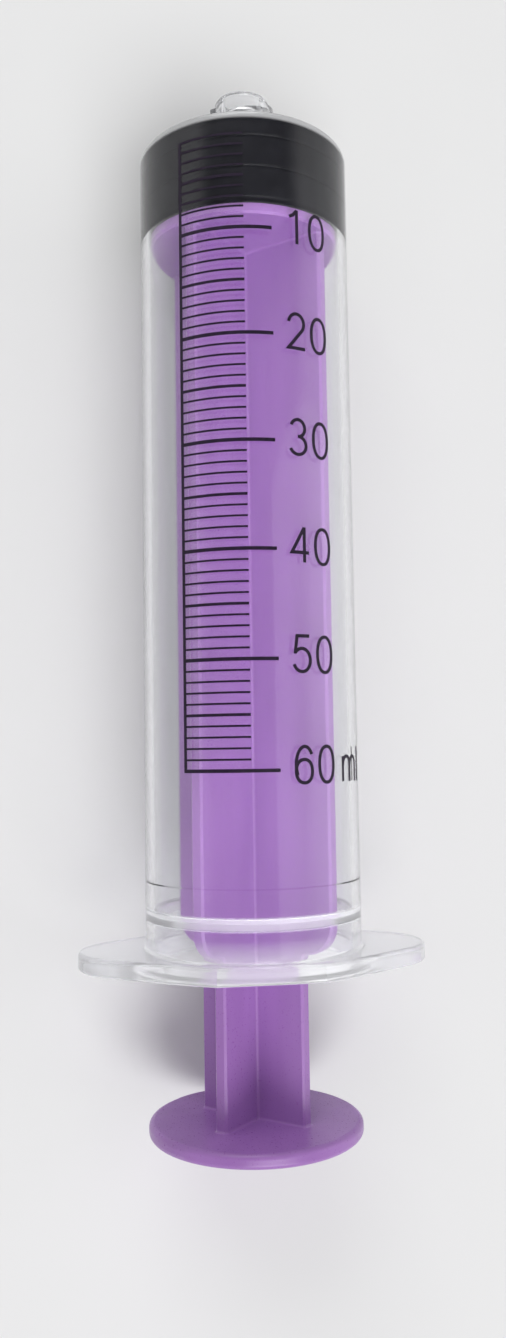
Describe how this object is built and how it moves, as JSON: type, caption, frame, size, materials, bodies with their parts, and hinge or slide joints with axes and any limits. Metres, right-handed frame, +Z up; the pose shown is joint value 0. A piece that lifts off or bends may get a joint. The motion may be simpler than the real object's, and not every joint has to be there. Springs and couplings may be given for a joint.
{
  "type": "enteral syringe",
  "caption": "Clear syringe barrel with a millilitre scale, finger flange and threaded feeding tip, with a sliding ribbed plunger and rubber seal.",
  "frame": {"origin": "centre of the tip's mouth, on the axis of the barrel", "axes": "+Y out of the tip along the barrel's axis, +Z up, away from the surface that the flange's flat lies on, +X along the finger flange"},
  "size_m": [0.051, 0.1552, 0.034],
  "materials": {
    "clear_plastic": "clear polypropylene with a slight haze",
    "ink": "printed ink",
    "black_rubber": "smooth, slightly oily",
    "purple_plastic": "moulded, satin"
  },
  "bodies": {
    "barrel": {"barrel": "clear_plastic", "scale_marks": "ink"},
    "seal": {"plunger_seal": "black_rubber"},
    "rod": {"plunger_rod": "purple_plastic"}
  },
  "joints": [
    {"name": "plunger_slide", "type": "slide", "parent": "barrel", "child": "seal", "axis": [0, -1, 0], "range_m": [0, 0.098]},
    {"name": "rod_turn", "type": "hinge", "parent": "seal", "child": "rod", "pos_m": [0, -0.02, 0], "axis": [0, 1, 0], "continuous": true}
  ]
}
